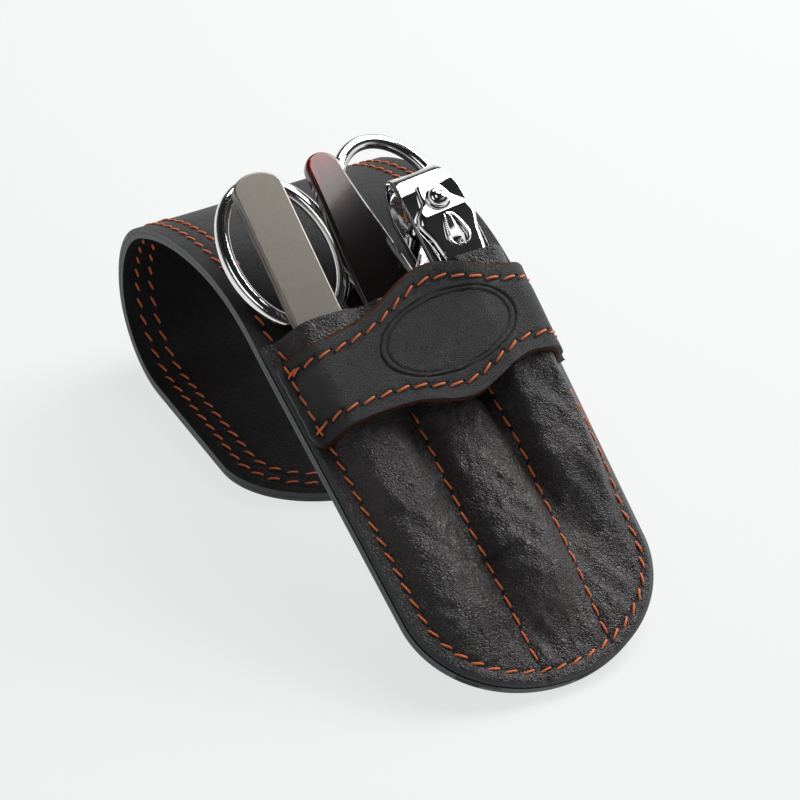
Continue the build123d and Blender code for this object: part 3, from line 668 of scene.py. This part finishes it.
def sums(tree, operation, a, b=None, c=None):
    """A Math node on sockets or numbers; gives its output."""
    made = tree.nodes.new("ShaderNodeMath")
    made.operation = operation
    for socket, value in zip(made.inputs, (a, b, c)):
        if isinstance(value, bpy.types.NodeSocket):
            tree.links.new(value, socket)
        elif value is not None:
            socket.default_value = value
    return made.outputs[0]


group = bpy.data.node_groups.new("leather relief", "ShaderNodeTree")
for in_out, labels in (("INPUT", ("Place", "Creases", "Net", "Grain", "Size")),
                       ("OUTPUT", ("Height", "Raised", "Patches"))):
    for label in labels:
        kind = "NodeSocketVector" if label == "Place" else "NodeSocketFloat"
        group.interface.new_socket(name=label, in_out=in_out, socket_type=kind)
given, result = group.nodes.new("NodeGroupInput"), group.nodes.new("NodeGroupOutput")
links = group.links
sized = node(group, "VectorMath", operation="SCALE", Vector=given.outputs["Place"],
             Scale=given.outputs["Size"])
drift = node(group, "TexNoise", Scale=260.0, Detail=2.0, Vector=sized.outputs["Vector"])
pushed = node(group, "VectorMath", operation="MULTIPLY_ADD")
links.new(drift.outputs["Color"], pushed.inputs[0])
pushed.inputs[1].default_value = (0.0021, 0.0021, 0.0021)
links.new(sized.outputs["Vector"], pushed.inputs[2])


def plates(scale, valley):
    """Little plates of grain with thin valleys between them, 0 in the valleys and 1 on the plates."""
    cells = node(group, "TexVoronoi", feature="DISTANCE_TO_EDGE", Scale=scale,
                 Vector=pushed.outputs["Vector"])
    ramp = node(group, "MapRange", interpolation_type="SMOOTHERSTEP", From_Max=valley,
                Value=cells.outputs["Distance"])
    return ramp.outputs["Result"]


def folds(scale, sharpness):
    """Soft folds: how far a smooth noise is from its middle value."""
    cloud = node(group, "TexNoise", Scale=scale, Detail=2.0, Roughness=0.45, Distortion=0.4,
                 Vector=pushed.outputs["Vector"])
    away = sums(group, "ABSOLUTE", sums(group, "SUBTRACT", cloud.outputs["Fac"], 0.5))
    return sums(group, "MINIMUM", sums(group, "MULTIPLY", away, sharpness), 1.0)


creases = sums(group, "MULTIPLY_ADD", folds(230.0, 5.0), 0.4, folds(95.0, 5.0))
net = plates(1500.0, 0.32)
grain = plates(3300.0, 0.40)
total = sums(group, "MULTIPLY", creases, given.outputs["Creases"])
total = sums(group, "MULTIPLY_ADD", net, given.outputs["Net"], total)
total = sums(group, "MULTIPLY_ADD", grain, given.outputs["Grain"], total)
links.new(total, result.inputs["Height"])
links.new(sums(group, "MULTIPLY", sums(group, "MULTIPLY_ADD", net, 0.6, 0.4), grain), result.inputs["Raised"])
patches = node(group, "TexNoise", Scale=60.0, Detail=2.0, Vector=given.outputs["Place"])
links.new(patches.outputs["Fac"], result.inputs["Patches"])

# %% [markdown]
# A leather is then a dark dyed colour that varies in soft patches, the paler patches a little smoother, and it
# is a little paler on the raised grain and darker in the fine valleys between.

# %% Leathers


def new_material(name, **settings):
    """A material, its tree and its shader, with values for the shader's inputs."""
    material = bpy.data.materials.new(name)
    material.use_nodes = True
    shader = material.node_tree.nodes["Principled BSDF"]
    for key, value in settings.items():
        shader.inputs[key.replace("_", " ")].default_value = value
    return material, material.node_tree, shader


def add_relief(tree, shader, height, depth):
    """Bends the shader's normal by a height socket, up to depth millimetres."""
    bump = node(tree, "Bump", Strength=1.0, Distance=depth * MM, Height=height)
    tree.links.new(bump.outputs["Normal"], shader.inputs["Normal"])


def add_colours(tree, shader, share, *stops):
    """Colours the shader by a socket from 0 to 1, with stops of (place, colour)."""
    tone = node(tree, "ValToRGB", Fac=share)
    marks = tone.color_ramp.elements
    for mark, (place, colour) in zip((marks[0], marks[1]), (stops[0], stops[-1])):
        mark.position, mark.color = place, (*colour, 1)
    for place, colour in stops[1:-1]:
        marks.new(place).color = (*colour, 1)
    tree.links.new(tone.outputs["Color"], shader.inputs["Base Color"])


def leather(name, deep, pale_tone, shares, size, depth, rough, shine=0.5):
    """A dyed leather, given its darkest and its palest colour, and the shares of creases, net and grain."""
    material, tree, shader = new_material(name, Specular_IOR_Level=shine)
    relief = node(tree, "Group", node_tree=group, Place=node(tree, "TexCoord").outputs["Object"],
                  Size=size, **dict(zip(("Creases", "Net", "Grain"), shares)))
    add_relief(tree, shader, relief.outputs["Height"], depth)
    patchy = sums(tree, "MULTIPLY_ADD", relief.outputs["Patches"], 1.2, -0.4)
    mixed = sums(tree, "MULTIPLY_ADD", relief.outputs["Raised"], 0.7, patchy)
    add_colours(tree, shader, mixed, (0.25, deep), (1.0, pale_tone))
    gloss = sums(tree, "MULTIPLY_ADD", relief.outputs["Patches"], -0.16, rough + 0.08)
    tree.links.new(gloss, shader.inputs["Roughness"])
    return material


grained = leather("grained leather", (0.0130, 0.0100, 0.0095), (0.056, 0.0445, 0.043),
                  (1.2, 0.85, 0.40), 1.0, 0.13, 0.38)
smooth = leather("smooth leather", (0.024, 0.024, 0.0245), (0.074, 0.074, 0.076),
                 (0.5, 0.8, 0.8), 1.7, 0.12, 0.50, 0.36)
lining = leather("lining leather", (0.009, 0.009, 0.0095), (0.031, 0.031, 0.033),
                 (1.0, 0.6, 0.5), 1.3, 0.09, 0.52, 0.32)
# The back leather is darker than the front's. Partly this is its own dark dye and partly painted shade, for
# the inside of the curl that faces the table.
backing = leather("back leather", (0.006, 0.005, 0.005), (0.018, 0.015, 0.015),
                  (1.2, 0.6, 0.3), 1.0, 0.08, 0.60, 0.22)
suede = leather("raw leather", (0.13, 0.035, 0.014), (0.30, 0.09, 0.035),
                (0.5, 1.0, 1.0), 1.8, 0.3, 0.9, 0.2)

# %% Painted edges and thread


def plain(name, colour, rough, mottle_scale, depth):
    """A material of one colour, slightly mottled, with fine uneven relief."""
    material, tree, shader = new_material(name, Roughness=rough)
    mottle = node(tree, "TexNoise", Scale=mottle_scale, Detail=3.0,
                  Vector=node(tree, "TexCoord").outputs["Object"])
    dark, light = [c * 0.72 for c in colour], [c * 1.22 for c in colour]
    add_colours(tree, shader, mottle.outputs["Fac"], (0.0, dark), (1.0, light))
    add_relief(tree, shader, mottle.outputs["Fac"], depth)
    return material


painted_edge = plain("painted edge", (0.040, 0.045, 0.047), 0.5, 700.0, 0.12)
thread = plain("orange thread", (0.72, 0.165, 0.050), 0.6, 4200.0, 0.10)
# Near black: the painted shadow where the stitches go into the leather.
hole_shadow = plain("painted hole shadow", (0.004, 0.003, 0.003), 0.9, 3000.0, 0.02)

# %% [markdown]
# The cut edges are sealed with dark paint, but the pockets' mouth and the band's upper edge are raw leather.
# Each sheet has a function that tells its edge from its face, by where a small face lies and where it looks.

# %% Materials on the leather pieces


def give(obj, *materials):
    """Puts materials in the piece's slots."""
    obj.data.materials.clear()
    for material in materials:
        obj.data.materials.append(material)


def paint_edges(obj, edge_kind):
    """Gives each face the material in slot edge_kind(middle, normal); 0 is the face of the leather."""
    for face in obj.data.polygons:
        face.material_index = edge_kind(face.center, face.normal)


def flat_place(point):
    """u, v and n on the pouch of a point in metres."""
    offset = point / MM - FOOT
    return offset.x, offset.dot(UP_THE_POUCH), offset.dot(OUT_OF_LINING)


def strip_edge(middle, normal):
    """Painted along both sides, at the pouch's closed end and round the tail's tip."""
    return int(abs(normal.x) > 0.6 and abs(middle.x / MM) > 20 or middle.y / MM < -45 and normal.y < -0.8
               or middle.z / MM < 3 and normal.y < -0.55 and middle.y / MM < 30)


def front_edge(middle, normal):
    """Painted round the pouch, raw along the mouth of the pockets."""
    u, v, n = flat_place(middle)
    if v > 77 and normal.dot(UP_THE_POUCH) > 0.5:
        return 2
    return int(n < 1.5 and from_line(u, v, 0.0, 0.0) < 0.8)


def band_raw_edge(middle, normal):
    """Raw leather shows along the band's upper edge, the lower one is stained like the face."""
    u, v, n = flat_place(middle)
    out = front_normal(u, v, band_height)
    return int(v - out.y * (BAND_BACKING + BAND_FACE) > band_top(u) - 0.30)


give(strip_lining, lining, painted_edge)
give(strip_back, backing, painted_edge)
give(front_leather, grained, painted_edge, suede)
give(band_face, smooth, suede)
give(band_backing, suede)
for piece, edge_kind in ((strip_lining, strip_edge), (strip_back, strip_edge), (front_leather, front_edge),
                         (band_face, band_raw_edge)):
    paint_edges(piece, edge_kind)
# Each row of stitches gets thread, and in its second slot the painted shadow at the stitches' ends.
for piece in (flap_stitches, flap_back_stitches, edge_stitches, divider_stitches, pouch_back_stitches,
              band_stitches, band_end_stitches, band_tacks):
    piece.data.materials.append(thread)
    piece.data.materials.append(hole_shadow)

# %% [markdown]
# ## Steel and acetate
# The tools keep the shape of their solids and get finishes. Plated steel is nearly a mirror with faint
# polishing lines. The tweezers and the file's blade are ground satin, with fine lines along their length. The
# file's handle is dark ruby acetate with streaks. Its colour is painted a brighter red towards its thin tip:
# painted light that stands in for light shining through, since the acetate lets no light through.

# %% Steel


def steel(name, colour, rough, line_scale, line_depth, stretch):
    """Polished or ground steel with lines along the pouch."""
    material, tree, shader = new_material(name, Metallic=1.0)
    turn = node(tree, "Mapping", Vector=node(tree, "TexCoord").outputs["Object"], Rotation=(-SLOPE, 0, 0),
                Scale=(line_scale, line_scale * stretch, line_scale))
    grind = node(tree, "TexNoise", Scale=1.0, Detail=4.0, Vector=turn.outputs["Vector"])
    add_relief(tree, shader, grind.outputs["Fac"], line_depth)
    gloss = sums(tree, "MULTIPLY_ADD", grind.outputs["Fac"], rough * 0.5, rough * 0.75)
    tree.links.new(gloss, shader.inputs["Roughness"])
    add_colours(tree, shader, grind.outputs["Fac"], (0.0, [c * 0.93 for c in colour]), (1.0, colour))
    return material


plated = steel("plated steel", (0.90, 0.90, 0.90), 0.04, 900.0, 0.002, 0.35)
ground = steel("ground steel", (0.225, 0.208, 0.182), 0.36, 2600.0, 0.002, 0.03)

# %% Acetate
acetate, tree, shader = new_material("ruby acetate", Roughness=0.09, Coat_Weight=0.6, Coat_Roughness=0.04)
turn = node(tree, "Mapping", Vector=node(tree, "TexCoord").outputs["Object"], Rotation=(-SLOPE, 0, 0))
split = node(tree, "SeparateXYZ", Vector=turn.outputs["Vector"])
stripes = node(tree, "Mapping", Vector=turn.outputs["Vector"], Scale=(520, 45, 260))
cloud = node(tree, "TexNoise", Scale=1.0, Detail=3.0, Distortion=0.5, Vector=stripes.outputs["Vector"])
# Painted light: the colour turns brighter red towards the handle's thin tip, as if light shone through. The
# streaks are the acetate's own.
painted_tip_glow = sums(tree, "MULTIPLY_ADD", split.outputs["Y"], 42.0, -1.75)
depth = sums(tree, "MULTIPLY_ADD", cloud.outputs["Fac"], 0.9, painted_tip_glow)
add_colours(tree, shader, depth, (0.36, (0.0035, 0.0012, 0.0014)), (0.58, (0.022, 0.0015, 0.002)),
            (0.78, (0.075, 0.0015, 0.003)), (1.0, (0.20, 0.003, 0.006)))

# %% [markdown]
# A real edge is never quite sharp, and on polished steel it is the edge that catches the light. So the tools
# that show are copied from their solids, merged, and given narrow bevels.

# %% Steel and acetate with softened edges


def softened(name, body, width, *materials):
    """A copy of a rigid node with narrow bevels along its edges, in its place."""
    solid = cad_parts[name]
    obj = solid.copy()
    obj.data = solid.data.copy()
    obj.name = name + "_soft"
    bpy.context.collection.objects.link(obj)
    finish_with(obj, "WELD", merge_threshold=0.000002)
    bpy.ops.object.mode_set(mode="EDIT")
    bpy.ops.mesh.select_all(action="SELECT")
    bpy.ops.mesh.dissolve_limited(angle_limit=math.radians(0.5))
    bpy.ops.object.mode_set(mode="OBJECT")
    finish_with(obj, "BEVEL", width=width * MM, segments=2, limit_method="ANGLE",
                angle_limit=math.radians(35))
    work_on(obj)
    bpy.ops.object.shade_smooth_by_angle(angle=math.radians(40))
    finish_with(obj, "WEIGHTED_NORMAL", weight=100, keep_sharp=True)
    give(obj, *materials)
    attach(obj, body)
    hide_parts(name)


softened("clipper_lower_arm", "clipper", 0.22, plated)
softened("clipper_upper_arm", "clipper_upper", 0.22, plated)
softened("tweezers_front_arm", "tweezers_front", 0.22, ground)
softened("tweezers_back_arm", "tweezers", 0.15, ground)
softened("file_handle", "file", 0.45, acetate)
for name in ("scissors_left", "scissors_right", "scissors_screw", "clipper_pin", "clipper_rivet",
             "file_blade"):
    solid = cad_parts[name]
    give(solid, ground if name == "file_blade" else plated)
    work_on(solid)
    bpy.ops.object.shade_smooth_by_angle(angle=math.radians(32))

# %% [markdown]
# The clipper's lever is pressed from sheet steel. Its long sides are rolled down, it widens to two points
# beside the pin, and a drop with a ridge round it is pressed up below the pin, which is where a thumb pushes.

# %% The clipper's own directions
CLIPPER_AT = Vector((16.608, -29.820, 23.800))
CLIPPER_X = Vector((0.99678, 0.06734, 0.04356))
CLIPPER_Y = Vector((-0.0802, 0.83692, 0.54142))
CLIPPER_Z = CLIPPER_X.cross(CLIPPER_Y).normalized()
PIN_Y = 49.4
LEVER_START, LEVER_END = 1.5, 53.4
LEVER_SIDE = ((1.5, 1.5), (3.5, 2.2), (20.0, 2.7), (33.5, 3.1), (38.6, 4.5), (39.0, 4.6), (41.5, 4.9),
              (45.6, 6.15), (47.2, 5.6), (50.0, 3.2), (53.4, 2.4))  # half its width
LEVER_UNDER = ((1.5, 3.85), (21.0, 6.54), (37.0, 8.35), (46.6, 9.15), (49.4, 8.75), (53.4, 7.9))
LEVER_RISE = 1.25  # its face over its underside


def on_clipper(x, y, z):
    """A place on the clipper, x across, y along and z up, in metres."""
    return (CLIPPER_AT + CLIPPER_X * x + CLIPPER_Y * y + CLIPPER_Z * z) * MM


def along(table, y):
    """Value at y in a short table of (place, value), turned smoothly from one to the next."""
    for (y1, a), (y2, b) in zip(table, table[1:]):
        if y <= y2:
            part = (y - y1) / (y2 - y1)
            return a + (b - a) * smooth_step(part) * 0.5 + (b - a) * 0.5 * max(0.0, part)
    return table[-1][1]


DROP_TOP, DROP_TIP, DROP_HALF = 46.4, 39.4, 2.75


def drop_shape(x, y):
    """Height of the pressed drop: a keeled middle, a thin groove and a ridge."""
    part = (DROP_TOP - y) / (DROP_TOP - DROP_TIP)
    if not 0 < part < 1:
        return 0.0
    half = math.sqrt(part) * math.sqrt(1.0 - max(0.0, (part - 0.6) / 0.4) ** 2.2)
    out = abs(x) / DROP_HALF / max(half, 0.05)
    middle = 0.85 * (1 - (out / 0.68) ** 1.05) if out < 0.68 else 0.0
    ridge = 0.45 * math.exp(-((out - 0.92) / 0.13) ** 2) * smooth_step(part / 0.2)
    return middle * smooth_step(part / 0.25) * smooth_step((1 - part) / 0.2) + ridge


def place_lever(a, b):
    """Puts a grid on the lever's face, with its long sides rolled down."""
    y = (LEVER_START + LEVER_END) / 2 + b * (LEVER_END - LEVER_START) / 2
    x = a * along(LEVER_SIDE, y)
    rolled = 0.8 * abs(a) ** 14 + 0.05 * a * a
    return on_clipper(x, y, along(LEVER_UNDER, y) + LEVER_RISE - rolled + drop_shape(x, y))


lever = thick_sheet("lever_sheet", 80, 320, place_lever, 0.75, edge=0.12)
give(lever, plated)
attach(lever, "clipper_lever")
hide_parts("clipper_lever")

# %% [markdown]
# The pin's head is cast: a ring, and a dome with flat facets in it.

# %% The pin's head
DOME, DOME_FOOT, RING_MIDDLE = 1.95, 10.3, 10.35  # the dome's radius, and heights over the arms' plane

bpy.ops.mesh.primitive_uv_sphere_add(segments=10, ring_count=8, radius=1.0)
pin_head = bpy.context.object
pin_head.name = "pin_head"
bpy.ops.object.mode_set(mode="EDIT")
bpy.ops.mesh.select_all(action="SELECT")
bpy.ops.mesh.bisect(plane_co=(0, 0, 0), plane_no=(0, 0, 1), clear_inner=True)
bpy.ops.mesh.select_all(action="DESELECT")
bpy.ops.object.mode_set(mode="OBJECT")
for point in pin_head.data.vertices:
    x, y, z = point.co
    facet = 1 - 0.07 * math.cos(5 * math.atan2(y, x)) * (1 - z)
    point.co = on_clipper(x * DOME * facet, PIN_Y + y * DOME * facet, DOME_FOOT + z * 1.5)
bpy.ops.mesh.primitive_torus_add(major_segments=48, minor_segments=12, major_radius=2.15, minor_radius=0.40)
ring = bpy.context.object
for point in ring.data.vertices:
    point.co = on_clipper(point.co.x, PIN_Y + point.co.y, RING_MIDDLE + point.co.z * 0.8)
pin_head.select_set(True)
bpy.context.view_layer.objects.active = pin_head
bpy.ops.object.join()
finish_with(pin_head, "BEVEL", width=0.08 * MM, segments=2, limit_method="ANGLE",
            angle_limit=math.radians(14))
work_on(pin_head)
bpy.ops.object.shade_smooth_by_angle(angle=math.radians(20))
give(pin_head, plated)
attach(pin_head, "clipper")

# %% [markdown]
# ## Most pieces ride on a body
# The strip's sheets and their stitches are parted before and behind the fold: the first part rides on the
# case, the last on the flap, and the short one between them stays where it is and rides on no body. What is
# sewn to the pouch rides on the case.

# %% Parting the strip at the fold
FOLD_START, FOLD_END = (0, 0.0165, 0.045), (0, 0.0295, 0.045)
CREST_START, TAIL_LEVEL = 92.0, -8.0  # v where the crest starts, and n below which the tail lies
CREST_END, CREST_LOW = 0.040, 0.025  # y and z in metres where the crest ends


def part_off(obj, name, wanted):
    """Moves the faces whose middles are wanted into their own piece."""
    work_on(obj)
    bpy.ops.object.mode_set(mode="EDIT")
    bpy.ops.mesh.select_mode(type="FACE")
    bpy.ops.mesh.select_all(action="DESELECT")
    bpy.ops.object.mode_set(mode="OBJECT")
    for face in obj.data.polygons:
        face.select = wanted(face.center)
    bpy.ops.object.mode_set(mode="EDIT")
    bpy.ops.mesh.separate(type="SELECTED")
    bpy.ops.object.mode_set(mode="OBJECT")
    piece = [other for other in bpy.context.selected_objects if other is not obj][0]
    piece.name = name
    return piece


def before_fold(middle):
    """Whether a place is on the pouch's side of the fold, and not on the tail under it."""
    u, v, n = flat_place(middle)
    return v < CREST_START and n > TAIL_LEVEL


def over_fold(middle):
    """Whether a place past the pouch is on the crest, which bends."""
    return middle.z > CREST_LOW and middle.y < CREST_END


fold_pieces, tail_pieces = [], []
for piece in (strip_lining, strip_back, flap_stitches, flap_back_stitches):
    tail = part_off(piece, piece.name + "_tail", lambda middle: not before_fold(middle))
    fold = part_off(tail, piece.name + "_fold", over_fold)
    tail_pieces.append(tail)
    fold_pieces.append(fold)

# %% Riding
for piece in fold_pieces:
    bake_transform(piece)
    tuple(FOLD_START)
    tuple(FOLD_END)
for piece in tail_pieces:
    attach(piece, "flap")
for piece in (strip_lining, strip_back, flap_stitches, flap_back_stitches, front_leather, band_face,
              band_backing, edge_stitches, divider_stitches, pouch_back_stitches, band_stitches,
              band_end_stitches, band_tacks):
    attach(piece, "case")
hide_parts("back_lining")
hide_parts("back_outer")
for cad_name, fold, tail in zip(("flap_lining", "flap_outer"), fold_pieces, tail_pieces):
    for piece in (fold, tail):
        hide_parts(cad_name)
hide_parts("pocket_front")
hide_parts("closure_band")
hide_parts("band_backing")

# %% [markdown]
# ## Table, light and camera
# A pale table, an even sky and two broad lamps from the upper right, so the shadow falls softly to the lower
# left. The camera looks down along the case from its left.

# %% Table and light
bpy.ops.mesh.primitive_plane_add(size=6, location=(0, 0, -0.00005))
table = bpy.context.object
table.name = "table"
pale, tree, shader = new_material("pale table", Base_Color=(0.88, 0.885, 0.885, 1), Roughness=0.9,
                                  Specular_IOR_Level=0.1)
glow = node(tree, "Emission", Strength=0.90, Color=(0.99, 1.0, 1.0, 1))
seen = node(tree, "LightPath")
straight = sums(tree, "MAXIMUM", seen.outputs["Is Glossy Ray"], seen.outputs["Is Transmission Ray"])
straight = sums(tree, "MAXIMUM", seen.outputs["Is Camera Ray"], straight)
blend = node(tree, "MixShader", Fac=sums(tree, "MULTIPLY", straight, 0.80))
tree.links.new(shader.outputs["BSDF"], blend.inputs[1])
tree.links.new(glow.outputs["Emission"], blend.inputs[2])
tree.links.new(blend.outputs["Shader"], tree.nodes["Material Output"].inputs["Surface"])
give(table, pale)

# %% [markdown]
# Polished steel shows the room it stands in. The room here is a white sweep low down, a dark ceiling, a dark
# side towards the viewer and a bright card high up on the left.

# %% The room
world = bpy.data.worlds.new("studio")
bpy.context.scene.world = world
world.use_nodes = True
room = world.node_tree
way = node(room, "TexCoord")
parts = node(room, "SeparateXYZ", Vector=way.outputs["Generated"])
ceiling = node(room, "ValToRGB", Fac=parts.outputs["Z"])
for element, place, level in zip(ceiling.color_ramp.elements, (0.0, 1.0), (0.90, 0.012)):
    element.position, element.color = place, (level, level, level, 1)
for place, level in ((0.25, 0.80), (0.48, 0.06)):
    step = ceiling.color_ramp.elements.new(place)
    step.color = (level, level, level, 1)


def card(direction, near, far, level):
    """A soft-edged patch of the room that is level bright, around a direction."""
    toward = node(room, "VectorMath", operation="DOT_PRODUCT", Vector=way.outputs["Generated"])
    toward.inputs[1].default_value = Vector(direction).normalized()
    edge = node(room, "MapRange", interpolation_type="SMOOTHSTEP", From_Min=far, From_Max=near, To_Max=level,
                Value=toward.outputs["Value"])
    return edge.outputs["Result"]


dark_side = card((-0.45, -0.85, 0.25), 0.93, 0.70, 0.85)
left_card = card((-0.42, -0.26, 0.87), 0.985, 0.960, 1.4)
room_light = sums(room, "MULTIPLY", ceiling.outputs["Color"], sums(room, "SUBTRACT", 1.0, dark_side))
room_light = sums(room, "MAXIMUM", room_light, left_card)
room.links.new(room_light, room.nodes["Background"].inputs["Strength"])
room.nodes["Background"].inputs["Color"].default_value = (0.98, 0.99, 1.0, 1)


def soft_lamp(name, place, aim, size, power):
    """A square lamp at place that faces aim."""
    bpy.ops.object.light_add(type="AREA", location=place)
    lamp = bpy.context.object
    lamp.name = name
    lamp.data.size = size
    lamp.data.energy = power
    lamp.rotation_euler = (Vector(aim) - Vector(place)).to_track_quat("-Z", "Y").to_euler()


soft_lamp("key lamp", (0.72, 0.10, 0.56), (0, 0, 0.02), 0.60, 8.0)
soft_lamp("top lamp", (0.37, 0.31, 0.80), (0, 0, 0.02), 0.56, 4.4)

# %% Camera
camera_data = bpy.data.cameras.new("camera")
camera = bpy.data.objects.new("camera", camera_data)
bpy.context.collection.objects.link(camera)
camera.location = (-0.20282, -0.36507, 0.3298)
look = Vector((0.0048, 0.0064, 0.015)) - Vector(camera.location)
camera.rotation_euler = look.to_track_quat("-Z", "Y").to_euler()
camera_data.lens = 122.4
camera_data.sensor_width = 36.0
camera_data.clip_start = 0.01
bpy.context.scene.camera = camera
bpy.context.scene.view_settings.view_transform = "Standard"
